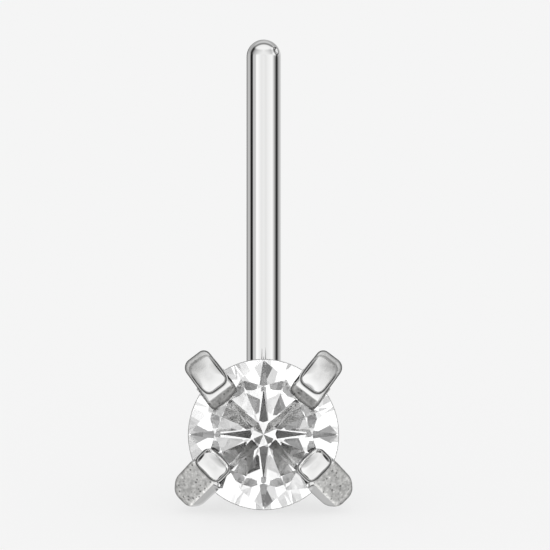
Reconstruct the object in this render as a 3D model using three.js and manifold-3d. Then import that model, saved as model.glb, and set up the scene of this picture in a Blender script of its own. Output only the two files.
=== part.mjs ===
// Nose stud: a round brilliant-cut stone in a four-claw head, on an L-shaped post.
// Millimetres, +Z up, origin under the middle of the stud on the surface it stands on.
// It stands on its two lower claws and on the bend of the post, with the leg of the post up.

import * as THREE from 'three';
import { ConvexGeometry } from 'three/addons/geometries/ConvexGeometry.js';
import { mergeVertices } from 'three/addons/utils/BufferGeometryUtils.js';
import Module from 'manifold-3d';

const wasm = await Module();
wasm.setup();

const RAD = Math.PI / 180;

// Driving dimensions. Lengths are millimetres and angles are degrees.
const STONE_DIAMETER = 3.5;
const WIRE_DIAMETER = 0.81; // 20 gauge
const LEAN = 12; // the stone faces this far above level when the stud stands
const LEG_REACH = 9.26; // stone's axis to the end of the leg
const BEND_RADIUS = 0.85; // to the middle of the wire
const SEAT_CLEARANCE = 0.03; // stone to metal

// The head is drawn with z along the stone's axis, out through its table, and y towards the end
// of the leg. Zero is the middle of the girdle. STONE, BASE and CLAWS are in parts of R.
const R = STONE_DIAMETER / 2;
const WIRE_RADIUS = WIRE_DIAMETER / 2;

const STONE = {
  mains: 8, // main facets round the crown, and round the pavilion
  table: 0.65, // middle to corner of the table
  crownAngle: 33.8,
  pavilionAngle: 39.2,
  halfGirdle: 0.03, // half the girdle's thickness where it is thickest
  starReach: 0.8, // middle to the outer corner of a star facet
  lowerReach: 0.18, // middle to the inner corner of a lower girdle facet
  girdleSteps: 6, // straight steps of the girdle for each main facet
};

const BASE = { radius: 0.5, top: -0.97, rim: -1.04, back: -1.2, fillet: 0.06, sides: 32 };

// A claw points outwards at angle from level, and its middle passes the stone's axis at offset, on
// the level side. tip: inner end of the claw, tipLean: how far its end face leans back.
// shoulder, shoulderTop: where the top face ends. browTop: height where the outer face starts.
const CLAW_PAIRS = [
  { angle: 53, offset: 0.12, width: 0.42, tip: 0.65, tipLean: 0.13, crest: 0.98, shoulder: 1.27,
    shoulderTop: 0.41, browTop: 0.27 },
  { angle: -45, offset: 0.165, width: 0.5, tip: 0.59, tipLean: 0.08, crest: 0.8, shoulder: 0.91,
    shoulderTop: 0.46, browTop: 0.04 },
];
const CLAW = {
  tipFoot: 0.27,
  tipTop: 0.4,
  crestTop: 0.46,
  brow: 1.38, // outermost face
  elbowTop: -0.35, // the claw turns in to its foot here
  foot: 0.47,
  footTop: -1.08,
  thickness: 0.26, // of the shank
  edge: 0.03, // bevel of the long edges
};

// Half width along a claw, in parts of its broadest.
const CLAW_PLAN = [
  { out: 0, share: 0.62 },
  { out: 0.64, share: 0.86 },
  { out: 0.8, share: 1 },
  { out: 1.2, share: 1 },
  { out: 1.3, share: 0.88 },
  { out: 1.35, share: 0.66 },
  { out: CLAW.brow, share: 0.3 },
];
const WIRE = { sides: 20, steps: 72, domeRings: 5 };

const metal = new THREE.MeshStandardMaterial({ color: 0xd6d7d8, roughness: 0.12, metalness: 1 });
const diamond = new THREE.MeshStandardMaterial({ color: 0xf3f5f7, roughness: 0.02, metalness: 0 });

// ---- joining and cutting ----

function solidOf(geometry) {
  const bare = geometry.clone();
  bare.deleteAttribute('normal');
  bare.deleteAttribute('uv');
  const merged = mergeVertices(bare, 1e-5);
  return new wasm.Manifold(new wasm.Mesh({
    numProp: 3,
    vertProperties: new Float32Array(merged.attributes.position.array),
    triVerts: new Uint32Array(merged.index.array),
  }));
}

function geometryOf(solid) {
  const mesh = solid.getMesh();
  const geometry = new THREE.BufferGeometry();
  geometry.setAttribute('position', new THREE.BufferAttribute(mesh.vertProperties, mesh.numProp));
  geometry.setIndex(new THREE.BufferAttribute(mesh.triVerts, 1));
  geometry.computeVertexNormals();
  return geometry;
}

const scaled = (points) => points.map(([x, y]) => new THREE.Vector2(x * R, y * R));

// ---- stone ----

function stonePoint(reach, turn, height) {
  return new THREE.Vector3(reach * Math.cos(turn), reach * Math.sin(turn), height).multiplyScalar(R);
}

// One half of the stone, heights growing away from the girdle. Main facets rise at mainAngle from
// the girdle to endReach, and the girdle facets' inner corners lie on the mains' edges.
function halfStone(mainAngle, cornerReach, endReach) {
  const slope = Math.tan(mainAngle * RAD);
  const between = Math.PI / STONE.mains;
  return {
    between,
    cornerReach,
    cornerHeight: STONE.halfGirdle + (1 - cornerReach * Math.cos(between)) * slope,
    endReach,
    endHeight: STONE.halfGirdle + (1 - endReach) * slope,
  };
}

const crown = halfStone(STONE.crownAngle, STONE.starReach, STONE.table);
const pavilion = halfStone(STONE.pavilionAngle, STONE.lowerReach, 0);

// Corners of a half. Its girdle facets meet the round girdle in shallow scallops.
function halfStonePoints(half) {
  const middle = half.between / 2;
  const rise = half.cornerHeight - STONE.halfGirdle;
  const girdleSlope = rise / (Math.cos(middle) * (1 - half.cornerReach));
  const steps = STONE.mains * STONE.girdleSteps;
  const points = [];
  for (let i = 0; i < steps; i++) {
    const turn = (2 * Math.PI * i) / steps;
    const scallop = (Math.cos(turn % half.between - middle) - Math.cos(middle)) * girdleSlope;
    points.push(stonePoint(1, turn, STONE.halfGirdle - scallop));
  }
  for (let i = 0; i < STONE.mains; i++) {
    const turn = 2 * half.between * i;
    points.push(stonePoint(half.cornerReach, turn + half.between, half.cornerHeight));
    points.push(stonePoint(half.endReach, turn, half.endHeight));
  }
  return points;
}

function stoneGeometry() {
  const below = halfStonePoints(pavilion);
  below.forEach((point) => { point.z = -point.z; });
  return new ConvexGeometry([...halfStonePoints(crown), ...below]);
}

// The room that the stone needs: its turned outline grown by the clearance, open over the table.
function seatCutterGeometry() {
  const grow = SEAT_CLEARANCE / R;
  const outline = scaled([
    [0, -pavilion.endHeight - 2 * grow],
    [pavilion.cornerReach + grow, -pavilion.cornerHeight - grow],
    [1 + grow, -STONE.halfGirdle - grow],
    [1 + grow, STONE.halfGirdle + grow],
    [crown.cornerReach + grow, crown.cornerHeight + grow],
    [crown.endReach + grow, crown.endHeight + grow],
    [crown.endReach + grow, 1],
    [0, 1],
  ]);
  const cutter = new THREE.LatheGeometry(outline, STONE.mains * STONE.girdleSteps);
  return cutter.rotateX(Math.PI / 2);
}

// ---- metal ----

// A claw seen from its side, x out from the stone's axis and y along it.
function clawSideShape(pair) {
  const shankRise = CLAW.elbowTop - CLAW.footTop;
  const shank = CLAW.thickness * Math.hypot(shankRise, CLAW.brow - CLAW.foot) / shankRise;
  return new THREE.Shape(scaled([
    [pair.tip, CLAW.tipFoot],
    [pair.tip + pair.tipLean, CLAW.tipTop],
    [pair.crest, CLAW.crestTop],
    [pair.shoulder, pair.shoulderTop],
    [CLAW.brow, pair.browTop],
    [CLAW.brow, CLAW.elbowTop],
    [CLAW.foot, CLAW.footTop],
    [CLAW.foot - shank, CLAW.footTop],
    [CLAW.brow - shank, CLAW.elbowTop],
  ]));
}

// A claw seen from in front of the stone, x out from the stone's axis.
function clawFrontShape(pair) {
  const side = CLAW_PLAN.map(({ out, share }) => [out, (pair.width / 2) * share]);
  const mirrored = side.map(([x, y]) => [x, -y]);
  return new THREE.Shape(scaled([...mirrored, ...side.reverse()]));
}

// side is 1 for the right claw of the pair and -1 for the left one.
function clawSolid(pair, side) {
  const bevel = CLAW.edge * R;
  const width = pair.width * R;
  const profile = new THREE.ExtrudeGeometry(clawSideShape(pair), {
    depth: width - 2 * bevel,
    bevelThickness: bevel,
    bevelSize: bevel,
    bevelOffset: -bevel,
    bevelSegments: 1,
  });
  profile.translate(0, 0, bevel - width / 2).rotateX(Math.PI / 2);
  const plan = new THREE.ExtrudeGeometry(clawFrontShape(pair), {
    depth: 2 * STONE_DIAMETER,
    bevelEnabled: false,
  });
  plan.translate(0, 0, -STONE_DIAMETER);
  const turn = side > 0 ? pair.angle : 180 - pair.angle;
  return solidOf(profile).intersect(solidOf(plan))
    .translate([0, -side * Math.sign(pair.angle) * pair.offset * R, 0])
    .rotate([0, 0, turn]);
}

function baseGeometry() {
  const outline = scaled([
    [0, BASE.top],
    [BASE.radius - (BASE.top - BASE.rim), BASE.top],
    [BASE.radius, BASE.rim],
    [BASE.radius, BASE.back],
    [WIRE_RADIUS / R + BASE.fillet, BASE.back],
    [WIRE_RADIUS / R - BASE.fillet, BASE.back - 2 * BASE.fillet],
    [0, BASE.back - 2 * BASE.fillet],
  ].reverse());
  return new THREE.LatheGeometry(outline, BASE.sides).rotateX(Math.PI / 2);
}

// Middle of the wire: straight back from the base, round the bend, and straight up the leg.
class PostPath extends THREE.Curve {
  constructor(setback) {
    super();
    this.neckStart = BASE.rim * R;
    this.neck = this.neckStart + setback - BEND_RADIUS;
    this.bend = BEND_RADIUS * Math.PI / 2;
    this.leg = LEG_REACH - WIRE_RADIUS - BEND_RADIUS;
    this.setback = setback;
  }

  getPoint(t, target = new THREE.Vector3()) {
    const along = t * (this.neck + this.bend + this.leg);
    const turned = THREE.MathUtils.clamp((along - this.neck) / BEND_RADIUS, 0, Math.PI / 2);
    const onNeck = Math.min(along, this.neck);
    const onLeg = Math.max(along - this.neck - this.bend, 0);
    return target.set(
      0,
      BEND_RADIUS * (1 - Math.cos(turned)) + onLeg,
      this.neckStart - onNeck - BEND_RADIUS * Math.sin(turned),
    );
  }
}

function wireSolid(setback) {
  const section = new THREE.Shape();
  for (let i = 0; i < WIRE.sides; i++) {
    const turn = (2 * Math.PI * i) / WIRE.sides;
    const corner = [WIRE_RADIUS * Math.cos(turn), WIRE_RADIUS * Math.sin(turn)];
    if (i === 0) section.moveTo(...corner);
    else section.lineTo(...corner);
  }
  const path = new PostPath(setback);
  const wire = new THREE.ExtrudeGeometry(section, { steps: WIRE.steps, extrudePath: path });
  const dome = new THREE.SphereGeometry(WIRE_RADIUS, WIRE.sides, 2 * WIRE.domeRings);
  dome.translate(...path.getPoint(1));
  return solidOf(wire).add(solidOf(dome));
}

// ---- the stud ----

const claws = CLAW_PAIRS.flatMap((pair) => [-1, 1].map((side) => clawSolid(pair, side)));
let head = claws.reduce((joined, claw) => joined.add(claw)).add(solidOf(baseGeometry()));
head = head.subtract(solidOf(seatCutterGeometry()));

// Standing on its lower claws, the head's middle is headHeight up, and the bend of the post
// reaches the same surface when the leg is set back this far from the girdle.
const sine = Math.sin(LEAN * RAD);
const cosine = Math.cos(LEAN * RAD);
const headHeight = -head.rotate([90 - LEAN, 0, 0]).boundingBox().min[2];
const bendDrop = WIRE_RADIUS - BEND_RADIUS * (sine + cosine - 1);
const setback = (headHeight - bendDrop) / sine;

const setting = new THREE.Mesh(geometryOf(head.add(wireSolid(setback))), metal);
setting.name = 'claw_setting_with_post';
const stone = new THREE.Mesh(stoneGeometry(), diamond);
stone.name = 'round_stone';

const standing = new THREE.Group();
standing.add(setting, stone);
standing.rotation.x = Math.PI / 2 - LEAN * RAD;

const stud = new THREE.Group();
stud.add(standing);
const box = new THREE.Box3().setFromObject(stud, true);
const middle = box.getCenter(new THREE.Vector3());
standing.position.set(-middle.x, -middle.y, -box.min.z);

export default stud;
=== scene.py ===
"""Claw-set nose stud: a round brilliant in a four-claw head on an L-shaped post, and its stage."""

import math

import bmesh
import bpy
import numpy as np
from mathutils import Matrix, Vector


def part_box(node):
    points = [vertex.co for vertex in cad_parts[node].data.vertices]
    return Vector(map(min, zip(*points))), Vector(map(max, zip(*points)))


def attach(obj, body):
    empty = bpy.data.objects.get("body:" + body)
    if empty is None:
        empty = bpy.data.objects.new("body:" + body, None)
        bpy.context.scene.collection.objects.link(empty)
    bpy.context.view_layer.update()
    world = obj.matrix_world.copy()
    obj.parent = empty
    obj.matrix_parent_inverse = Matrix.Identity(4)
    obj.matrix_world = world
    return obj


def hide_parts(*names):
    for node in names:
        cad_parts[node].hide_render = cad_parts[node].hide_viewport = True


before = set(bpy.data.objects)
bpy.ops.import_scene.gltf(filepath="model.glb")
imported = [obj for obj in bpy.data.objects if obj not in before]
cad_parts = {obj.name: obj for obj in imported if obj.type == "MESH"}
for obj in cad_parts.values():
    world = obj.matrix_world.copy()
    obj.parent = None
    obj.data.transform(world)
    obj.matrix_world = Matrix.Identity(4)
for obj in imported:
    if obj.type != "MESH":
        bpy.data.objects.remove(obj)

bl_info = {
    "name": "Claw-set nose stud",
    "version": (1, 0, 0),
    "blender": (4, 5, 0),
    "location": "3D View > Sidebar > Nose stud",
    "description": "Makes a round brilliant in a four-claw head on an L-shaped post",
    "category": "Add Mesh",
}

MM = 0.001
SETTING = "claw_setting_with_post"
STONE = "round_stone"
BODY = "root"

stone_low, stone_high = (np.array(corner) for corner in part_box(STONE))
metal_high = np.array(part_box(SETTING)[1])
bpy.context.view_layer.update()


# ---- sizes and colours that a user may change ----


class StudSizes(bpy.types.PropertyGroup):
    """Sizes of the stud"""

    lean: bpy.props.FloatProperty(
        name="Lean",
        description="How far above level the stone faces",
        default=math.radians(12),
        subtype="ANGLE",
    )
    stone_radius: bpy.props.FloatProperty(
        name="Stone radius",
        description="Half the width of the girdle",
        default=float(stone_high[0] - stone_low[0]) / 2,
        unit="LENGTH",
    )
    wire_radius: bpy.props.FloatProperty(
        name="Wire radius",
        description="Half the thickness of the post",
        default=0.405 * MM,
        unit="LENGTH",
    )
    bend_radius: bpy.props.FloatProperty(
        name="Bend radius",
        description="Radius of the bend, to the middle of the wire",
        default=0.85 * MM,
        unit="LENGTH",
    )
    crown_angle: bpy.props.FloatProperty(
        name="Crown angle",
        description="Slope of the crown's main facets",
        default=math.radians(33.8),
        subtype="ANGLE",
    )
    pavilion_angle: bpy.props.FloatProperty(
        name="Pavilion angle",
        description="Slope of the pavilion's main facets",
        default=math.radians(39.2),
        subtype="ANGLE",
    )


class StudFinish(bpy.types.PropertyGroup):
    """Colours and finishes of the stud and its stage"""

    metal: bpy.props.FloatVectorProperty(
        name="Metal",
        description="Colour of the polished white metal",
        default=(0.93, 0.93, 0.925),
        subtype="COLOR",
    )
    metal_roughness: bpy.props.FloatProperty(
        name="Metal roughness",
        description="Roughness of the polished metal",
        default=0.02,
        min=0.0,
        max=1.0,
        subtype="FACTOR",
    )
    cast_metal: bpy.props.FloatVectorProperty(
        name="Cast metal",
        description="Tint of the faces left as cast",
        default=(1.0, 0.995, 0.975),
        subtype="COLOR",
    )
    stone: bpy.props.FloatVectorProperty(
        name="Stone",
        description="Body colour of the stone",
        default=(1.0, 1.0, 1.0),
        subtype="COLOR",
    )
    refraction: bpy.props.FloatProperty(
        name="Refractive index",
        description="Refractive index of the stone",
        default=2.42,
    )
    floor: bpy.props.FloatVectorProperty(
        name="Floor",
        description="Colour of the plain floor",
        default=(0.2, 0.2, 0.2),
        subtype="COLOR",
    )


# ---- the head's own directions ----
#
# Every piece is drawn from the middle of the girdle, in parts of the stone's radius: x to the
# right, y towards the end of the leg, z out through the table.

TABLE = 0.65  # to a corner of the table
HALF_GIRDLE = 0.03  # half the girdle's thickness where it is thickest


def head_directions(sizes):
    """Rows of x, y and z of the head as directions in the room."""
    sine, cosine = math.sin(sizes.lean), math.cos(sizes.lean)
    return np.array([[1.0, 0.0, 0.0], [0.0, sine, cosine], [0.0, -cosine, sine]])


def girdle_middle(sizes):
    """Middle of the girdle, from the stone's box: its top and its foremost edge of the table."""
    sine, cosine = math.sin(sizes.lean), math.cos(sizes.lean)
    radius = sizes.stone_radius
    table_height = HALF_GIRDLE + (1 - TABLE) * math.tan(sizes.crown_angle)
    top = stone_high[2] - radius * (cosine + HALF_GIRDLE * sine)
    front = stone_low[1] + radius * (TABLE * sine + table_height * cosine)
    return np.array([0.0, front, top])


def in_room(sizes, x, y, z):
    """Points of the head, in parts of the stone's radius, as one list of points in the room."""
    head = np.stack(np.broadcast_arrays(x, y, z), axis=-1).reshape(-1, 3)
    return girdle_middle(sizes) + head @ head_directions(sizes) * sizes.stone_radius


def leg_end(sizes):
    """Height of the dome's middle up the leg, and the leg's distance behind the girdle."""
    sine, cosine = math.sin(sizes.lean), math.cos(sizes.lean)
    centre = girdle_middle(sizes)
    rise = metal_high[2] - centre[2] - sizes.wire_radius
    back = metal_high[1] - centre[1] - sizes.wire_radius
    return rise * cosine + back * sine, back * cosine - rise * sine


# ---- meshes from arrays ----

WELD = 2e-8  # points closer than this are one, in metres


def ring_faces(rings, count):
    """Four-cornered faces between rings of count points each, one ring after another."""
    ring, place = np.meshgrid(np.arange(rings - 1), np.arange(count), indexing="ij")
    here = ring * count + place
    beside = ring * count + (place + 1) % count
    return np.stack([here, beside, beside + count, here + count], axis=-1).reshape(-1, 4)


def make_piece(name, points, faces, materials, sharp, finish=None, marks=None):
    """A mesh object at the origin from points and faces, riding on the only body.

    sharp is the angle between faces, in radians, from which their edge stays sharp. finish is
    the material number of each face, and marks has named values for each point.
    """
    mesh = bpy.data.meshes.new(name)
    mesh.from_pydata(points.tolist(), [], [list(face) for face in faces])
    for material in materials:
        mesh.materials.append(material)
    if finish is not None:
        mesh.polygons.foreach_set("material_index", np.asarray(finish, dtype=np.int32))
    for title, values in (marks or {}).items():
        layer = mesh.attributes.new(title, "FLOAT", "POINT")
        layer.data.foreach_set("value", np.asarray(values, dtype=np.float32).ravel())
    work = bmesh.new()
    work.from_mesh(mesh)
    bmesh.ops.remove_doubles(work, verts=work.verts, dist=WELD)
    bmesh.ops.recalc_face_normals(work, faces=work.faces)
    work.to_mesh(mesh)
    work.free()
    mesh.polygons.foreach_set("use_smooth", np.ones(len(mesh.polygons), dtype=bool))
    mesh.set_sharp_from_angle(angle=sharp)
    piece = bpy.data.objects.new(name, mesh)
    bpy.context.scene.collection.objects.link(piece)
    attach(piece, BODY)
    return piece


# ---- stone ----

STAR_REACH = 0.8  # to the outer corner of a star facet
LOWER_REACH = 0.18  # to the inner corner of a lower girdle facet
MAINS = 8
GIRDLE_STEPS = 12  # straight steps of the girdle for each main facet
CROWN_SHARE = 0.99  # size of the crown against one that fits the pavilion's girdle exactly
TURN_SLACK = 2e-8  # keeps a facet's corner on its own side of the remainder, in radians
STONE_SHARP = 0.02  # in radians


def half_stone(angle, corner_reach, end_reach):
    """One half of the stone as points of its girdle, its corners and its end.

    Main facets rise at angle from the girdle to end_reach. The corners between them lie on
    their edges. A girdle facet is the plane through such a corner and two points of the girdle,
    so its round edge dips by the arc's height times that plane's slope.
    """
    between = math.pi / MAINS
    rise = (1 - corner_reach * math.cos(between)) * math.tan(angle)
    girdle_slope = rise / (math.cos(between / 2) * (1 - corner_reach))
    turn = np.arange(MAINS * GIRDLE_STEPS) * 2 * math.pi / (MAINS * GIRDLE_STEPS)
    past_corner = np.mod(turn + TURN_SLACK, between)
    dip = np.cos(past_corner - between / 2) - math.cos(between / 2)
    main_turn = np.arange(MAINS) * 2 * between
    end_height = HALF_GIRDLE + (1 - end_reach) * math.tan(angle)
    return np.concatenate([
        np.stack([np.cos(turn), np.sin(turn), HALF_GIRDLE - dip * girdle_slope], -1),
        on_circle(corner_reach, main_turn + between, HALF_GIRDLE + rise),
        on_circle(end_reach, main_turn, end_height),
    ])


def on_circle(reach, turn, height):
    """Points at one height on a circle of radius reach: the cosine and the sine of each turn."""
    return np.stack([reach * np.cos(turn), reach * np.sin(turn), np.full_like(turn, height)], -1)


def half_faces(first):
    """Girdle facets with many-cornered round edges, mains, stars and the end of one half.

    first is the number of the half's first point, and the order is half_stone's. The crown's end
    is the table. The pavilion's end and stars have no size, because all their points meet.
    """
    ring = MAINS * GIRDLE_STEPS
    main = np.arange(MAINS)
    corner, end = first + ring + main, first + ring + MAINS + main
    arc = first + (main[:, None] * GIRDLE_STEPS + np.arange(GIRDLE_STEPS + 1)) % ring
    half = GIRDLE_STEPS // 2
    rising = np.column_stack([arc[:, : half + 1], corner])
    falling = np.column_stack([arc[:, half:], corner])
    mains = np.column_stack([end, np.roll(corner, 1), arc[:, 0], corner])
    stars = np.column_stack([end, corner, np.roll(end, -1)])
    faces = [*rising.tolist(), *falling.tolist(), *mains.tolist(), *stars.tolist()]
    return [*faces, end.tolist()]


def build_stone(sizes, materials):
    """The brilliant: two halves on a scalloped round girdle, whose pavilion ends in a point.

    The crown is a hair too small for the pavilion, so the ground girdle between them slopes and
    shows round the stone as a thin line.
    """
    crown = half_stone(sizes.crown_angle, STAR_REACH, TABLE) * CROWN_SHARE
    pavilion = half_stone(sizes.pavilion_angle, LOWER_REACH, 0.0) * (1, 1, -1)
    points = np.concatenate([crown, pavilion])
    faces = half_faces(0) + half_faces(len(crown))
    ring = MAINS * GIRDLE_STEPS
    around = np.arange(ring)
    after = (around + 1) % ring
    band = np.column_stack([around, after, after + len(crown), around + len(crown)])
    finish = [0] * len(faces) + [1] * ring
    faces += band.tolist()
    world = in_room(sizes, *points.T)
    piece = make_piece("brilliant_stone", world, faces, materials, STONE_SHARP, finish)
    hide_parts(STONE)


# ---- metal ----

METAL_SHARP = 0.6  # in radians
LEAST_SHARE = 1e-3  # of the way out of a dome, which keeps its middle from a division by zero


def rounded(corners, steps=16):
    """A closed outline from (x, y, radius) rows, each corner an arc of that radius.

    An arc starts a trim before its corner, the radius times the tangent of half the turn, and
    its middle lies square to the side that leads into it. Between arcs the sides are straight.
    """
    place, radius = np.array(corners)[:, :2], np.array(corners)[:, 2]
    into = place - np.roll(place, 1, axis=0)
    into /= np.linalg.norm(into, axis=1, keepdims=True)
    away = np.roll(into, -1, axis=0)
    turn = np.arctan2(into[:, 0] * away[:, 1] - into[:, 1] * away[:, 0], np.sum(into * away, 1))
    side = np.stack([-into[:, 1], into[:, 0]], -1) * np.sign(turn)[:, None]
    start = place - into * (radius * np.tan(np.abs(turn) / 2))[:, None]
    swept = np.linspace(0, 1, steps)[None] * np.abs(turn)[:, None]
    ahead = np.sin(swept)[..., None] * into[:, None] + (1 - np.cos(swept))[..., None] * side[:, None]
    arcs = start[:, None] + ahead * radius[:, None, None]
    return arcs.reshape(-1, 2)


def evenly_spaced(outline, count):
    """The closed outline as count points at equal steps along it."""
    closed = np.concatenate([outline, outline[:1]])
    length = np.concatenate([[0], np.cumsum(np.linalg.norm(np.diff(closed, axis=0), axis=1))])
    at = np.arange(count) / count * length[-1]
    return np.stack([np.interp(at, length, closed[:, 0]), np.interp(at, length, closed[:, 1])], -1)


def dome_shape(out, beside, dome):
    """Height of a dome of unit rise over a box, and the distance inside its rounded edge.

    The height is one less the square of the share of the way to the edge along the claw, times
    the same across it. The rounded edge is where the fourth powers of the shares sum to one,
    and the distance is what the fourth root of that sum lacks to one, over its steepness.
    """
    low, high, near, far = dome
    length, breadth = (high - low) / 2, (far - near) / 2
    run = np.abs(out - (low + high) / 2) / length
    side = np.abs(beside - (near + far) / 2) / breadth
    height = np.maximum(1 - run**2, 0) * np.maximum(1 - side**2, 0)
    share = np.maximum((run**4 + side**4) ** 0.25, LEAST_SHARE)
    steepness = np.hypot((run / share) ** 3 / length, (side / share) ** 3 / breadth)
    return height, (1 - share) / steepness


def step(value, low, high):
    """Zero up to low, one from high, and a smooth cubic between."""
    share = np.clip((value - low) / (high - low), 0, 1)
    return share * share * (3 - 2 * share)


def bell(distance, width):
    """The exponential of minus the square of distance over width: one at no distance."""
    return np.exp(-((distance / width) ** 2))


# Claws. angle is from level to the claw. Outlines and profiles are in the claw's own
# directions: out from the stone's axis, beside (towards the leg), and up out of the table.
# spine is where the rings of the top shrink to, side is the height along the claw, averaged over
# blur either way, and dome is the dome's box. edge is how wide the bevelled edge is along the
# claw, in parts of EDGE. cast and tone are where the face left as cast starts and how bright it
# is, worn is how dull the outer corner is, and facet is the slope of the side facet.
CLAWS = {
    "upper": {
        "angle": 53.0,
        "outline": [
            (0.650, -0.335, 0.05),
            (0.770, -0.345, 0.08),
            (1.000, -0.325, 0.30),
            (1.385, -0.320, 0.13),
            (1.385, 0.075, 0.10),
            (0.800, 0.100, 0.12),
            (0.690, 0.085, 0.06),
            (0.640, -0.080, 0.30),
        ],
        "spine": (0.84, 1.18, -0.124),
        "side": [
            (0.60, 0.262),
            (0.65, 0.292),
            (0.775, 0.380),
            (0.80, 0.395),
            (0.86, 0.405),
            (1.00, 0.415),
            (1.20, 0.400),
            (1.30, 0.375),
            (1.40, 0.320),
        ],
        "blur": 0.07,
        "dome": (0.848, 1.310, -0.288, 0.078),
        "dome_rise": 0.062,
        "edge": [(0.8, 0.8), (0.9, 0.9), (1.25, 0.9), (1.33, 0.45)],
        "cast": (0.790, 0.775),
        # the upper claws' cast faces are darker than the lower claws': painted shade on one metal
        "tone": 0.30,
        "worn": 0.65,
        "facet": 0.0,
    },
    "lower": {
        "angle": -45.0,
        "outline": [
            (0.590, -0.035, 0.13),
            (0.800, -0.045, 0.15),
            (0.960, -0.095, 0.20),
            (1.250, -0.085, 0.20),
            (1.385, 0.030, 0.16),
            (1.385, 0.290, 0.19),
            (1.230, 0.415, 0.19),
            (0.950, 0.425, 0.20),
            (0.590, 0.420, 0.15),
        ],
        "spine": (0.80, 1.16, 0.17),
        "side": [
            (0.57, 0.30),
            (0.60, 0.335),
            (0.64, 0.375),
            (0.72, 0.395),
            (0.905, 0.400),
            (0.925, 0.405),
            (1.20, 0.190),
            (1.40, 0.010),
        ],
        "blur": 0.02,
        "dome": (0.600, 0.908, -0.012, 0.405),
        "dome_rise": 0.045,
        "edge": [(0.7, 1.0), (0.86, 1.4), (0.93, 0.4)],
        "cast": (0.905, 0.920),
        "tone": 0.50,
        "worn": 0.0,
        "facet": 1.8,
    },
}
# Drop of a claw's top by the distance inside its outline.
EDGE = [(0, -0.048), (0.026, -0.019), (0.055, 0)]
SIDE_SAMPLES = 9  # of the side profile within its blur
GROOVE, GROOVE_SLOPE = 0.019, 1.15  # half the groove's width, and how steep its sides are

# Painted shade in the groove round a dome, darkening it as a shaded crease. It thins out along
# the claw.
CREASE_SHADE_TONE = 0.02  # brightness of the painted shade
CREASE_SHADE_WIDTH = 0.7 * GROOVE
CREASE_SHADE_THINS, CREASE_SHADE_LOST = (1.15, 1.28), 0.5  # between which places, and what share

# The face left as cast has a painted highlight in a band just inside its edge and painted shade
# along the edge.
BAND_INSIDE, BAND_WIDTH, BAND_HIGHLIGHT = 0.045, 0.013, 0.10
EDGE_WIDTH, EDGE_SHADE = 0.020, 0.55  # the painted shade is a share of the claw's tone

# The worn corner lies out along the claw, less this much of the way towards the leg.
CORNER_SLANT = 0.8
CORNER_WORN = (1.08, 1.50)  # where the wear sets in and where it is full
CORNER_EDGE_SHADE = (1.0, 1.2)  # the same for the painted shade along its edge
CORNER_EDGE_SHADE_WIDTH = 0.022

# The lower claws' side facet falls away from a ridge with a painted highlight, and isn't left as
# cast.
RIDGE = 0.02  # beside
RIDGE_ROUNDING, RIDGE_SETBACK = 0.004, 0.008
FACET_BEGINS = (0.90, 0.98)  # out along the claw
CAST_BEGINS = (RIDGE - 0.02, RIDGE - 0.012)  # beside
# width and brightness of the painted highlight along the ridge
RIDGE_WIDTH, RIDGE_HIGHLIGHT = 0.020, 0.45

# Inner side of a claw by height: the seat round the stone with its clearance, then the shank.
CLAW_INNER = [
    (-1.08, 0.054),
    (-0.35, 0.964),
    (-0.155, 0.893),
    (-0.047, 1.017),
    (0.047, 1.017),
    (0.226, 0.817),
    (0.288, 0.667),
    (0.295, 0.0),
]
ELBOW_TOP = -0.35
FOOT_TOP = -1.08
FOOT_WIDTH = 0.62
SHANK_RUN = 0.91 / 0.73  # how far the shank runs inwards, over how far it runs down
CLAW_POINTS = 300
CLAW_RINGS = 96
# Heights of the rings down a claw's sides: past the seat's corners, then elbow and shank.
CLAW_LEVELS = np.concatenate([
    np.linspace(0.38, 0.295, 5),
    [0.288, 0.27, 0.25, 0.226, 0.19, 0.14, 0.09, 0.047, 0.0, -0.047, -0.10, -0.155],
    np.linspace(-0.19, ELBOW_TOP, 5),
    np.linspace(ELBOW_TOP, FOOT_TOP, 9)[1:],
])
CAST_SIDE = 0.2  # height above which a claw's sides are as cast as the top's edge
SEAT_CAST = 0.35  # how far the seat under the stone is left as cast
SEAT_TONE = 0.85  # brightness of the unpolished seat
SEAT_BLEND = 0.02  # depth of the seat's cut at which it is as cast as it gets


def claw_surface(claw):
    """Rings of a claw as (out, beside, up, cast, tone), from its spine over the top and down.

    On top a ring is the outline moved a share of the way to the spine, at the height of
    claw_top. Further down a ring is the outline at a level, kept outside the seat, and below
    the elbow it moves in to the foot.
    """
    outline = evenly_spaced(rounded(claw["outline"]), CLAW_POINTS)
    low, high, middle = claw["spine"]
    spine = np.stack([np.clip(outline[:, 0], low, high), np.full(CLAW_POINTS, middle)], -1)
    share = np.linspace(1, 0, CLAW_RINGS)
    top = outline + share[:, None, None] * (spine - outline)
    depth = share[:, None] * np.linalg.norm(spine - outline, axis=-1)
    out, beside = top[..., 0], top[..., 1]
    up, mark, tone = claw_top(claw, out, beside, depth)
    levels = CLAW_LEVELS[:, None]
    wall_up = np.minimum(up[-1], levels)
    inner_up, inner_out = zip(*CLAW_INNER)
    moved_out = outline[:, 0] - np.clip(ELBOW_TOP - levels, 0, None) * SHANK_RUN
    seat_out = np.interp(wall_up, inner_up, inner_out)
    wall_out = np.maximum(moved_out, seat_out)
    narrowed = np.interp(levels, [FOOT_TOP, ELBOW_TOP], [FOOT_WIDTH, 1])
    wall_beside = middle + (outline[:, 1] - middle) * narrowed
    in_seat = SEAT_CAST * step(seat_out - moved_out, 0.0, SEAT_BLEND)
    wall_mark = np.maximum(mark[-1] * (levels > CAST_SIDE), in_seat)
    wall_tone = np.where(in_seat > 0, SEAT_TONE, tone[-1])
    rows = (out, wall_out), (beside, wall_beside), (up, wall_up), (mark, wall_mark), (tone, wall_tone)
    return [np.concatenate(row) for row in rows]


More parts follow.
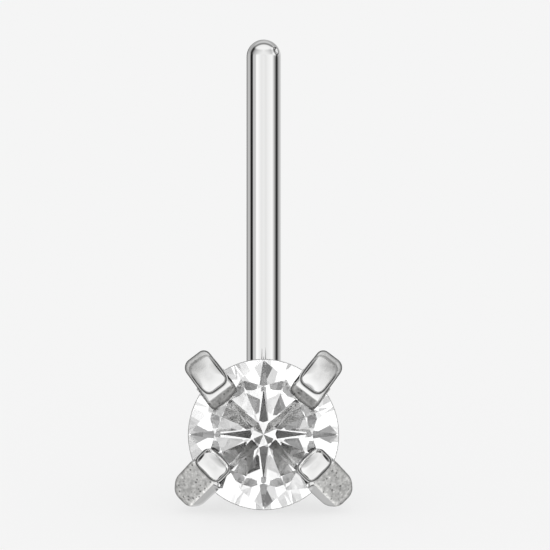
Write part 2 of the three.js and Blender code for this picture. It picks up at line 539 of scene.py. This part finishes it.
def claw_top(claw, out, beside, depth):
    """Height of a claw's top face, how far it is left as cast, and how bright it is there.

    The height is the side profile averaged near its reach, less the bevelled edge and the side
    facet, plus the dome, less a groove with straight sides round the dome's edge. The facet
    drops by the logarithm of one plus an exponential, which is a straight slope with a rounded
    start.
    """
    side_out, side_up = zip(*claw["side"])
    nearby = out[..., None] + np.linspace(-1, 1, SIDE_SAMPLES) * claw["blur"]
    width_out, width = zip(*claw["edge"])
    edge_depth, edge_drop = zip(*EDGE)
    scale = np.interp(out, width_out, width)
    up = np.interp(nearby, side_out, side_up).mean(axis=-1)
    up = up + np.interp(depth / scale, edge_depth, edge_drop) * scale
    over_ridge = (RIDGE - RIDGE_SETBACK - beside) / RIDGE_ROUNDING
    past_ridge = RIDGE_ROUNDING * np.logaddexp(0, over_ridge)
    up = up - claw["facet"] * past_ridge * step(out, *FACET_BEGINS)
    height, inside = dome_shape(out, beside, claw["dome"])
    up = up + claw["dome_rise"] * height
    up = up - GROOVE_SLOPE * np.maximum(GROOVE - np.abs(inside), 0)
    mark, tone = claw_finish(claw, out, beside, depth)
    # painted shade darkens the groove round the dome and a worn corner's edge
    painted_shade = painted_crease_shade(claw, out, beside, depth, inside)
    return up, np.maximum(mark, painted_shade), tone + (CREASE_SHADE_TONE - tone) * painted_shade


def claw_finish(claw, out, beside, depth):
    """How far a claw's top face is left as cast or worn dull, and how bright it is there.

    The cast share rises evenly between the claw's two cast places. Bells of the distance inside
    the outline paint a highlight in the band and shade along the edge, and one beside the ridge
    paints a highlight on it.
    """
    bare, cast = claw["cast"]
    mark = np.clip((out - bare) / (cast - bare), 0, 1)
    # painted highlight in a band inside the edge, then painted shade along the edge
    tone = claw["tone"] + BAND_HIGHLIGHT * bell(depth - BAND_INSIDE, BAND_WIDTH)
    tone = tone - EDGE_SHADE * claw["tone"] * bell(depth, EDGE_WIDTH)
    mark = np.maximum(mark, claw["worn"] * step(out - CORNER_SLANT * beside, *CORNER_WORN))
    if claw["facet"]:
        mark = mark * step(beside, *CAST_BEGINS)
        # painted highlight along the ridge
        tone = tone + RIDGE_HIGHLIGHT * bell(beside - RIDGE, RIDGE_WIDTH)
    return mark, tone


def painted_crease_shade(claw, out, beside, depth, inside):
    """How much painted shade darkens the groove: a bell round the dome's edge, thinner further out.

    A worn claw gets painted shade along the edge of its worn corner too, as a bell of the distance
    inside the outline.
    """
    painted_shade = bell(inside, CREASE_SHADE_WIDTH) * (1 - CREASE_SHADE_LOST * step(out, *CREASE_SHADE_THINS))
    if claw["worn"]:
        at_corner = step(out - CORNER_SLANT * beside, *CORNER_EDGE_SHADE)
        painted_shade = np.maximum(painted_shade, bell(depth, CORNER_EDGE_SHADE_WIDTH) * at_corner)
    return painted_shade


def build_claws(sizes, material):
    """Four claws: the same surface for each pair, turned to its own angle and mirrored."""
    for pair, claw in CLAWS.items():
        out, beside, up, mark, tone = claw_surface(claw)
        rings, count = out.shape
        faces = [*ring_faces(rings, count).tolist(), list(range((rings - 1) * count, rings * count))]
        angle = math.radians(claw["angle"])
        for hand, side in (("left", -1), ("right", 1)):
            x = side * (out * math.cos(angle) - beside * math.sin(angle))
            y = out * math.sin(angle) + beside * math.cos(angle)
            points = in_room(sizes, x, y, up)
            name = f"{pair}_{hand}_claw"
            # tone carries painted highlights and painted shade as well as the cast faces' brightness
            marks = {"cast": mark, "tone": tone}
            make_piece(name, points, faces, [material], METAL_SHARP, marks=marks)


CUP_REACH, CUP_TOP, CUP_BACK = 0.50, -0.97, -1.20
FILLET = 0.06  # between the cup and the neck
COLLAR_BACK, COLLAR_TOP_OVER, COLLAR_BACK_OVER = -1.34, 0.005, 0.002  # over is past the wire
CUP_SIDES = 96


def build_base(sizes, material):
    """The cup where the claws meet: an outline with rounded corners turned about the axis."""
    wire = sizes.wire_radius / sizes.stone_radius
    outline = rounded([
        (0.0, CUP_TOP, 0.0),
        (CUP_REACH, CUP_TOP, 0.05),
        (CUP_REACH, CUP_BACK, 0.04),
        (wire + FILLET, CUP_BACK, 0.02),
        (wire + COLLAR_TOP_OVER, CUP_BACK - FILLET, 0.05),
        (wire + COLLAR_BACK_OVER, COLLAR_BACK, 0.0),
        (0.0, COLLAR_BACK, 0.0),
    ])
    turn = np.arange(CUP_SIDES) * 2 * math.pi / CUP_SIDES
    reach, height = outline[:, :1], outline[:, 1:]
    points = in_room(sizes, reach * np.cos(turn), reach * np.sin(turn), height)
    faces = ring_faces(len(outline), CUP_SIDES)
    make_piece("base_cup", points, faces, [material], METAL_SHARP)


NECK_START = -1.1  # inside the cup
NECK_RINGS, BEND_RINGS, LEG_RINGS, DOME_RINGS = 60, 33, 220, 48
POST_SIDES = 144
POST_SHARP = 0.7  # in radians
# The dimple beside the post's tip, with a low lip round it. Places and widths are in parts of the
# wire's radius, and the lip's are in parts of the dimple's width.
DIMPLE = np.array([0.72, 0.34, 0.60])  # from the middle of the leg's dome
DIMPLE_WIDTH, DIMPLE_SLOPE = 0.14, 0.7
LIP_SHARE, LIP_REACH, LIP_WIDTH = 0.4, 1.6, 0.5


def build_post(sizes, material):
    """The post: a circle carried straight back, round a quarter turn and up the leg, then domed.

    The dome's rings shrink with the cosine and rise with the sine of one angle. Each point
    moves towards the dome's middle by a bell of its distance from the dimple, less a lower
    bell of its distance from the lip. Little of either is left where the leg starts.
    """
    radius = sizes.wire_radius / sizes.stone_radius
    bend = sizes.bend_radius / sizes.stone_radius
    leg_top, setback = (length / sizes.stone_radius for length in leg_end(sizes))
    neck = np.linspace(NECK_START, bend - setback, NECK_RINGS)[:-1]
    quarter = np.linspace(0, math.pi / 2, BEND_RINGS)
    leg = np.linspace(bend, leg_top, LEG_RINGS)[1:]
    dome = np.linspace(0, math.pi / 2, DOME_RINGS)[1:]
    height = [neck * 0, bend * (1 - np.cos(quarter)), leg, leg_top + radius * np.sin(dome)]
    depth = [neck, bend - setback - bend * np.sin(quarter), leg * 0 - setback, dome * 0 - setback]
    aim = [neck * 0, quarter, leg * 0 + math.pi / 2, dome * 0 + math.pi / 2]
    ring = [neck * 0 + radius, quarter * 0 + radius, leg * 0 + radius, radius * np.cos(dome)]
    height, depth, aim, ring = (np.concatenate(row)[:, None] for row in (height, depth, aim, ring))
    turn = np.arange(POST_SIDES) * 2 * math.pi / POST_SIDES
    outwards = ring * np.sin(turn)
    x = ring * np.cos(turn)
    y = height - outwards * np.cos(aim)
    z = depth - outwards * np.sin(aim)
    tip = np.stack([x, y - leg_top, z + setback], -1) / radius
    spread = np.linalg.norm(tip - DIMPLE, axis=-1) / DIMPLE_WIDTH
    hollow = bell(spread, 1.0) - LIP_SHARE * bell(spread - LIP_REACH, LIP_WIDTH)
    sunk = radius * DIMPLE_WIDTH * DIMPLE_SLOPE * hollow
    x, y, z = x - tip[..., 0] * sunk, y - tip[..., 1] * sunk, z - tip[..., 2] * sunk
    points = in_room(sizes, x, y, z)
    faces = [*ring_faces(len(aim), POST_SIDES).tolist(), list(range(POST_SIDES))]
    post = make_piece("post", points, faces, [material], POST_SHARP)
    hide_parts(SETTING)


# ---- nodes that several materials and the light share ----

WHITE = (1, 1, 1, 1)
MIX_FIRST, MIX_SECOND, MIX_COLOUR = 6, 7, 2  # numbers of a Mix node's colour sockets


def grey(brightness):
    """An opaque grey."""
    return (brightness, brightness, brightness, 1)


def feed(links, socket, value):
    """Links another socket to this one, or sets a plain number or colour on it."""
    if isinstance(value, bpy.types.NodeSocket):
        links.new(value, socket)
    else:
        socket.default_value = value


def levels_of(nodes, links, value, rows):
    """Greys from (value, brightness) rows."""
    node = nodes.new("ShaderNodeValToRGB")
    elements = node.color_ramp.elements
    elements[0].color = grey(rows[0][1])
    elements[1].color = grey(rows[-1][1])
    for position, bright in rows[1:-1]:
        elements.new(position).color = grey(bright)
    links.new(value, node.inputs["Fac"])
    return node.outputs["Color"]


def product(nodes, links, first, second):
    """first times second, where second may be a plain number."""
    node = nodes.new("ShaderNodeMath")
    node.operation = "MULTIPLY"
    links.new(first, node.inputs[0])
    feed(links, node.inputs[1], second)
    return node.outputs[0]


def mapped(nodes, links, value, low, high, smooth=False):
    """value taken from low to high onto 0 to 1."""
    node = nodes.new("ShaderNodeMapRange")
    node.inputs["From Min"].default_value = low
    node.inputs["From Max"].default_value = high
    if smooth:
        node.interpolation_type = "SMOOTHSTEP"
    links.new(value, node.inputs["Value"])
    return node.outputs["Result"]


def blended(nodes, links, share, first, second):
    """The first number, giving way to the second as share goes from 0 to 1."""
    node = nodes.new("ShaderNodeMapRange")
    node.inputs["To Min"].default_value = first
    node.inputs["To Max"].default_value = second
    links.new(share, node.inputs["Value"])
    return node.outputs["Result"]


def mixed(nodes, links, share, first, second):
    """The first colour, giving way to the second as share goes from 0 to 1."""
    node = nodes.new("ShaderNodeMix")
    node.data_type = "RGBA"
    links.new(share, node.inputs["Factor"])
    feed(links, node.inputs[MIX_FIRST], first)
    feed(links, node.inputs[MIX_SECOND], second)
    return node.outputs[MIX_COLOUR]


def noise(nodes, links, place, scale, detail=2.0, roughness=0.5):
    """Cloudy noise over a place, its scale in lumps for each unit of the place."""
    node = nodes.new("ShaderNodeTexNoise")
    node.inputs["Scale"].default_value = scale
    node.inputs["Detail"].default_value = detail
    node.inputs["Roughness"].default_value = roughness
    links.new(place, node.inputs["Vector"])
    return node.outputs["Fac"]


# ---- materials ----


def new_material(name):
    """A material with its nodes, its links and its shader."""
    material = bpy.data.materials.new(name)
    material.use_nodes = True
    nodes = material.node_tree.nodes
    return material, nodes, material.node_tree.links, nodes["Principled BSDF"]


def own_place(nodes):
    """A point's place in its piece's own coordinates."""
    return nodes.new("ShaderNodeTexCoord").outputs["Object"]


def mark_of(nodes, title):
    """The value that a piece's points carry under a title."""
    node = nodes.new("ShaderNodeAttribute")
    node.attribute_name = title
    return node.outputs["Fac"]


# Brightness of the cast faces, half being plain, by the grain's noise, by a coarser noise, and
# by the distance from the middle of a pit. Scales are in lumps or pits to a metre.
GRAIN_SCALE, GRAIN_DETAIL, GRAIN_ROUGHNESS = 16000, 5, 0.6
CAST_GRAIN = ((0.0, 0.22), (0.34, 0.31), (0.44, 0.46), (0.56, 0.53), (0.66, 0.68), (1.0, 0.85))
MOTTLE_SCALE = 6500
MOTTLE = ((0.0, 0.38), (0.38, 0.42), (0.48, 0.50), (0.62, 0.55), (1.0, 0.58))
DARK_PITS_SCALE, BRIGHT_PITS_SCALE = 8500, 5200
DARK_PITS = ((0.0, 0.10), (0.14, 0.14), (0.25, 0.5), (1.0, 0.5))
BRIGHT_PITS = ((0.0, 0.80), (0.07, 0.74), (0.14, 0.5), (1.0, 0.5))
SPECKLE_SCALE = 16.0  # makes plain one: a half for each noise and for each kind of pit
CAST_METALLIC, CAST_ROUGHNESS = 0.1, 0.5
BUMP_DEPTH = 16e-6  # in metres
POLISHED_BUMP, CAST_BUMP = 0.02, 0.6  # how strongly the speckle dents each finish


def cast_speckle(nodes, links):
    """Brightness of the cast faces: the product of two noises and two kinds of pit."""
    own = own_place(nodes)
    fine = noise(nodes, links, own, GRAIN_SCALE, GRAIN_DETAIL, GRAIN_ROUGHNESS)
    speckle = levels_of(nodes, links, fine, CAST_GRAIN)
    coarse = noise(nodes, links, own, MOTTLE_SCALE)
    speckle = product(nodes, links, speckle, levels_of(nodes, links, coarse, MOTTLE))
    for scale, rows in ((DARK_PITS_SCALE, DARK_PITS), (BRIGHT_PITS_SCALE, BRIGHT_PITS)):
        pits = nodes.new("ShaderNodeTexVoronoi")
        pits.inputs["Scale"].default_value = scale
        links.new(own, pits.inputs["Vector"])
        pit = levels_of(nodes, links, pits.outputs["Distance"], rows)
        speckle = product(nodes, links, speckle, pit)
    return speckle


def white_metal(finish):
    """White metal, mirror polished with faint marks, and dull, grainy and pitted where cast."""
    material, nodes, links, shader = new_material("white_metal")
    cast = mark_of(nodes, "cast")
    speckle = cast_speckle(nodes, links)
    bright = product(nodes, links, speckle, SPECKLE_SCALE)
    # tone brings in the painted highlights and painted shade with the cast faces' brightness
    bright = product(nodes, links, bright, mark_of(nodes, "tone"))
    dull = nodes.new("ShaderNodeVectorMath")
    dull.operation = "SCALE"
    dull.inputs[0].default_value = finish.cast_metal
    links.new(bright, dull.inputs["Scale"])
    colour = mixed(nodes, links, cast, (*finish.metal, 1), dull.outputs["Vector"])
    links.new(colour, shader.inputs["Base Color"])
    metallic = blended(nodes, links, cast, 1.0, CAST_METALLIC)
    links.new(metallic, shader.inputs["Metallic"])
    roughness = blended(nodes, links, cast, finish.metal_roughness, CAST_ROUGHNESS)
    links.new(roughness, shader.inputs["Roughness"])
    bump = nodes.new("ShaderNodeBump")
    bump.inputs["Distance"].default_value = BUMP_DEPTH
    strength = blended(nodes, links, cast, POLISHED_BUMP, CAST_BUMP)
    links.new(strength, bump.inputs["Strength"])
    links.new(speckle, bump.inputs["Height"])
    links.new(bump.outputs["Normal"], shader.inputs["Normal"])
    return material


# How clear the stone is, and its ground girdle, by a fine noise of so many lumps to a metre.
CLEARNESS_SCALE, CLEARNESS_DETAIL = 2500, 3
CLEARNESS = ((0.0, 0.9), (0.4, 0.97), (0.6, 1.0), (1.0, 1.0))
GROUND_SCALE = 30000
GROUND = ((0.0, 0.2), (0.4, 0.28), (0.6, 0.4), (1.0, 0.5))
GROUND_ROUGHNESS = (0.2, 0.5)


def polished_stone(finish):
    """Clear stone with polished facets and a very faint unevenness in its clearness."""
    material, nodes, links, shader = new_material("polished_stone")
    cloud = noise(nodes, links, own_place(nodes), CLEARNESS_SCALE, CLEARNESS_DETAIL)
    colour = nodes.new("ShaderNodeVectorMath")
    colour.operation = "MULTIPLY"
    colour.inputs[1].default_value = finish.stone
    links.new(levels_of(nodes, links, cloud, CLEARNESS), colour.inputs[0])
    links.new(colour.outputs["Vector"], shader.inputs["Base Color"])
    shader.inputs["Roughness"].default_value = 0.0
    shader.inputs["IOR"].default_value = finish.refraction
    shader.inputs["Transmission Weight"].default_value = 1.0
    return material


def ground_stone(finish):
    """The girdle's finely ground edge, which is greyer than the facets."""
    material, nodes, links, shader = new_material("ground_stone")
    shader.inputs["IOR"].default_value = finish.refraction
    shader.inputs["Transmission Weight"].default_value = 1.0
    grain = noise(nodes, links, own_place(nodes), GROUND_SCALE)
    links.new(levels_of(nodes, links, grain, GROUND), shader.inputs["Base Color"])
    roughness = blended(nodes, links, grain, *GROUND_ROUGHNESS)
    links.new(roughness, shader.inputs["Roughness"])
    return material


# ---- stage ----

CAMERA_DISTANCE = 354 * MM
FRAME_WIDTH = 12.73 * MM
SENSOR = 36.0
AIM = (0.266 * MM, 3.694 * MM)  # right of the stone's middle, and above it
CLIP_START, CLIP_END = 0.01, 10  # in metres
BACKDROP = 0.913
FLOOR_REACH = 2.0  # from the middle of the floor to its sides, in metres
FLOOR_SHARE = 0.203  # brightness that the floor takes from the light above it
STONE_BOUNCES, MIRROR_BOUNCES = 32, 16

# Brightness of the light tent by the angle from the way that the stone faces, in degrees, or
# from its dark spot for the stone's own wall. The metal sees one wall on its left, one on its
# right, one higher up and one overhead.
LEFT_WALL = (
    (0, 0.84),
    (16, 0.80),
    (43, 0.97),
    (51, 0.97),
    (57, 0.57),
    (77, 0.53),
    (80, 0.02),
    (98, 0.01),
    (105, 0.40),
    (114, 0.54),
    (143, 0.42),
    (152, 0.10),
    (180, 0.06),
)
RIGHT_WALL = (
    (0, 0.84),
    (14, 0.78),
    (26, 0.85),
    (58, 0.95),
    (67, 0.72),
    (75, 0.42),
    (84, 0.30),
    (89, 0.03),
    (105, 0.03),
    (113, 0.30),
    (126, 0.45),
    (150, 0.65),
    (180, 0.70),
)
ABOVE = (
    (0, 0.84),
    (62, 0.92),
    (86, 0.86),
    (94, 0.25),
    (104, 0.25),
    (114, 0.60),
    (150, 0.55),
    (168, 0.2),
    (180, 0.12),
)
UPPER_WALL = (
    (0, 0.84),
    (20, 0.84),
    (36, 0.78),
    (52, 0.64),
    (70, 0.45),
    (82, 0.28),
    (88, 0.03),
    (103, 0.03),
    (112, 0.40),
    (180, 0.40),
)
STONE_WALL = (
    (0, 0.02),
    (9, 0.02),
    (12.5, 0.95),
    (40, 1.0),
    (56, 0.95),
    (62, 0.6),
    (68, 0.6),
    (71, 1.0),
    (80, 0.9),
    (88, 0.08),
    (110, 0.08),
    (124, 0.7),
    (180, 0.7),
)
METAL_LIGHT, STONE_LIGHT, DULL_LIGHT = 1.06, 1.46, 1.015
# Where the metal's walls give way to each other, by the cosine of the angle from the right for
# TO_RIGHT, from the nearer side for OFF_MIDDLE and from the way that the leg points for the rest.
TO_RIGHT = (-0.2, 0.2)
TO_UPPER, OFF_MIDDLE = (0.12, 0.36), (-0.25, 0.34)
TO_ABOVE = (0.62, 0.82)
# Middle of the stone's rings of light, to the right of the way that it faces and above it.
SPOT_OFFSET = (0.02, -0.01)
# Uneven light round the stone, by a coarse noise over the ways that the light comes from.
ROOM_SCALE, ROOM_DETAIL = 4.0, 1.0
ROOM = ((0.0, 0.45), (0.38, 0.5), (0.47, 0.97), (1.0, 1.0))


def turned(rows):
    """(degrees, brightness) rows with the degrees as parts of half a turn."""
    return [(degrees / 180, bright) for degrees, bright in rows]


def along(nodes, links, way, direction):
    """The part of the ray's way that lies along a direction."""
    node = nodes.new("ShaderNodeVectorMath")
    node.operation = "DOT_PRODUCT"
    node.inputs[1].default_value = direction
    links.new(way, node.inputs[0])
    return node.outputs["Value"]


def half_turns(nodes, links, value):
    """The angle whose cosine is value, in half turns."""
    angle = nodes.new("ShaderNodeMath")
    angle.operation = "ARCCOSINE"
    links.new(value, angle.inputs[0])
    return mapped(nodes, links, angle.outputs[0], 0, math.pi)


def light(nodes, links, colour, strength):
    """Light of a colour, which may be plain or another socket's, and a strength."""
    node = nodes.new("ShaderNodeBackground")
    node.inputs["Strength"].default_value = strength
    feed(links, node.inputs["Color"], colour)
    return node.outputs[0]


def metal_tent(nodes, links, way, directions):
    """What the metal reflects: a wall on each side, one higher up and one overhead.

    Each wall's brightness goes by the angle from the way that the stone faces. The left one
    gives way to the right one smoothly, both to the upper one away from the middle, and all to
    the one overhead.
    """
    right, up, facing = directions
    from_axis = half_turns(nodes, links, along(nodes, links, way, facing))
    left, right_hand, upper, above = (
        levels_of(nodes, links, from_axis, turned(rows))
        for rows in (LEFT_WALL, RIGHT_WALL, UPPER_WALL, ABOVE)
    )
    rise = along(nodes, links, way, up)
    aside = along(nodes, links, way, right)
    sideways = nodes.new("ShaderNodeMath")
    sideways.operation = "ABSOLUTE"
    links.new(aside, sideways.inputs[0])
    to_right = mapped(nodes, links, aside, *TO_RIGHT, smooth=True)
    raised = mapped(nodes, links, rise, *TO_UPPER, smooth=True)
    off_middle = mapped(nodes, links, sideways.outputs[0], *OFF_MIDDLE, smooth=True)
    raised = product(nodes, links, raised, off_middle)
    overhead = mapped(nodes, links, rise, *TO_ABOVE, smooth=True)
    walls = mixed(nodes, links, to_right, left, right_hand)
    return mixed(nodes, links, overhead, mixed(nodes, links, raised, walls, upper), above)


def stone_surroundings(nodes, links, way, directions):
    """What the stone shows: rings of light about a dark spot that stands for a lens.

    The rings' brightness goes by the angle from the spot, times an uneven light. The spot stays
    where it is, close to the way that the stone faces.
    """
    right, up, facing = directions
    spot = facing + right * SPOT_OFFSET[0] + up * SPOT_OFFSET[1]
    spot /= np.linalg.norm(spot)
    from_spot = half_turns(nodes, links, along(nodes, links, way, spot))
    uneven = noise(nodes, links, way, ROOM_SCALE, ROOM_DETAIL)
    room = levels_of(nodes, links, uneven, ROOM)
    wall = levels_of(nodes, links, from_spot, turned(STONE_WALL))
    return product(nodes, links, wall, room)


def build_world(sizes):
    """A pale background, an even light on dull things, and a tent for the metal and the stone.

    The surroundings of the first kind of ray that fits are used, from the last one in the list
    to the first, and the metal's tent where none fits.
    """
    world = bpy.data.worlds.new("light_tent")
    bpy.context.scene.world = world
    world.use_nodes = True
    world.cycles.sampling_method = "NONE"  # each ray then gets its own kind's surroundings
    nodes, links = world.node_tree.nodes, world.node_tree.links
    nodes.clear()
    out = nodes.new("ShaderNodeOutputWorld")
    way = nodes.new("ShaderNodeTexCoord").outputs["Generated"]
    directions = head_directions(sizes)
    stone_wall = stone_surroundings(nodes, links, way, directions)
    ray = nodes.new("ShaderNodeLightPath")
    seen = light(nodes, links, metal_tent(nodes, links, way, directions), METAL_LIGHT)
    for kind, colour, strength in (
        ("Is Singular Ray", stone_wall, STONE_LIGHT),
        ("Is Transmission Ray", stone_wall, STONE_LIGHT),
        ("Is Diffuse Ray", WHITE, DULL_LIGHT),
        ("Is Camera Ray", grey(BACKDROP), 1.0),
    ):
        choose = nodes.new("ShaderNodeMixShader")
        links.new(ray.outputs[kind], choose.inputs["Fac"])
        links.new(seen, choose.inputs[1])
        links.new(light(nodes, links, colour, strength), choose.inputs[2])
        seen = choose.outputs[0]
    links.new(seen, out.inputs["Surface"])


def build_floor(finish):
    """A plain pale square at height zero, as bright as the backdrop.

    It glows with the backdrop's brightness less the share that the light above it adds.
    """
    mesh = bpy.data.meshes.new("floor")
    reach = FLOOR_REACH
    corners = [(-reach, -reach, 0), (reach, -reach, 0), (reach, reach, 0), (-reach, reach, 0)]
    mesh.from_pydata(corners, [], [(0, 1, 2, 3)])
    floor = bpy.data.objects.new("floor", mesh)
    bpy.context.scene.collection.objects.link(floor)
    material, _, _, shader = new_material("plain_floor")
    shader.inputs["Base Color"].default_value = (*finish.floor, 1)
    shader.inputs["Emission Color"].default_value = WHITE
    shader.inputs["Emission Strength"].default_value = BACKDROP - FLOOR_SHARE
    shader.inputs["Roughness"].default_value = 1.0
    shader.inputs["Specular IOR Level"].default_value = 0.0
    mesh.materials.append(material)
    floor.visible_glossy = False
    floor.visible_transmission = False


def build_camera(sizes):
    """A long lens square to the table, whose frame takes in the whole leg."""
    data = bpy.data.cameras.new("camera")
    data.sensor_width = SENSOR
    data.lens = SENSOR * CAMERA_DISTANCE / FRAME_WIDTH
    data.clip_start, data.clip_end = CLIP_START, CLIP_END
    camera = bpy.data.objects.new("camera", data)
    bpy.context.scene.collection.objects.link(camera)
    right, up, out = head_directions(sizes)
    aim = girdle_middle(sizes) + right * AIM[0] + up * AIM[1]
    camera.location = aim + out * CAMERA_DISTANCE
    camera.rotation_mode = "QUATERNION"
    camera.rotation_quaternion = Vector(-out).to_track_quat("-Z", "Y")
    bpy.context.scene.camera = camera


# ---- operators ----


class MakeStage(bpy.types.Operator):
    """Makes the floor, the light tent and the camera"""

    bl_idname = "nose_stud.make_stage"
    bl_label = "Stage"

    def execute(self, context):
        scene = context.scene
        build_floor(scene.stud_finish)
        build_world(scene.stud_sizes)
        build_camera(scene.stud_sizes)
        scene.view_settings.view_transform = "Standard"
        scene.cycles.max_bounces = STONE_BOUNCES
        scene.cycles.transmission_bounces = STONE_BOUNCES
        scene.cycles.glossy_bounces = MIRROR_BOUNCES
        return {"FINISHED"}


class MakeStone(bpy.types.Operator):
    """Makes the brilliant-cut stone"""

    bl_idname = "nose_stud.make_stone"
    bl_label = "Stone"

    def execute(self, context):
        finish = context.scene.stud_finish
        build_stone(context.scene.stud_sizes, [polished_stone(finish), ground_stone(finish)])
        return {"FINISHED"}


class MakeSetting(bpy.types.Operator):
    """Makes the claws, the base cup and the post"""

    bl_idname = "nose_stud.make_setting"
    bl_label = "Setting and post"

    def execute(self, context):
        sizes = context.scene.stud_sizes
        metal = white_metal(context.scene.stud_finish)
        build_claws(sizes, metal)
        build_base(sizes, metal)
        build_post(sizes, metal)
        return {"FINISHED"}


class StudPanel(bpy.types.Panel):
    """Lists the stud's pieces"""

    bl_idname = "VIEW3D_PT_nose_stud"
    bl_label = "Nose stud"
    bl_space_type = "VIEW_3D"
    bl_region_type = "UI"
    bl_category = "Nose stud"

    def draw(self, context):
        for operator in OPERATORS:
            self.layout.operator(operator.bl_idname)


OPERATORS = (MakeStage, MakeStone, MakeSetting)
CLASSES = (StudSizes, StudFinish, *OPERATORS, StudPanel)


def register():
    """Registers every class and hangs the sizes and finishes on the scene."""
    for item in CLASSES:
        bpy.utils.register_class(item)
    bpy.types.Scene.stud_sizes = bpy.props.PointerProperty(type=StudSizes)
    bpy.types.Scene.stud_finish = bpy.props.PointerProperty(type=StudFinish)


def unregister():
    """Undoes register, in the opposite order."""
    del bpy.types.Scene.stud_finish
    del bpy.types.Scene.stud_sizes
    for item in reversed(CLASSES):
        bpy.utils.unregister_class(item)


def main():
    """Makes the stage and every piece."""
    register()
    bpy.ops.nose_stud.make_stage()
    bpy.ops.nose_stud.make_stone()
    bpy.ops.nose_stud.make_setting()
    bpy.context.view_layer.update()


if __name__ == "__main__":
    main()
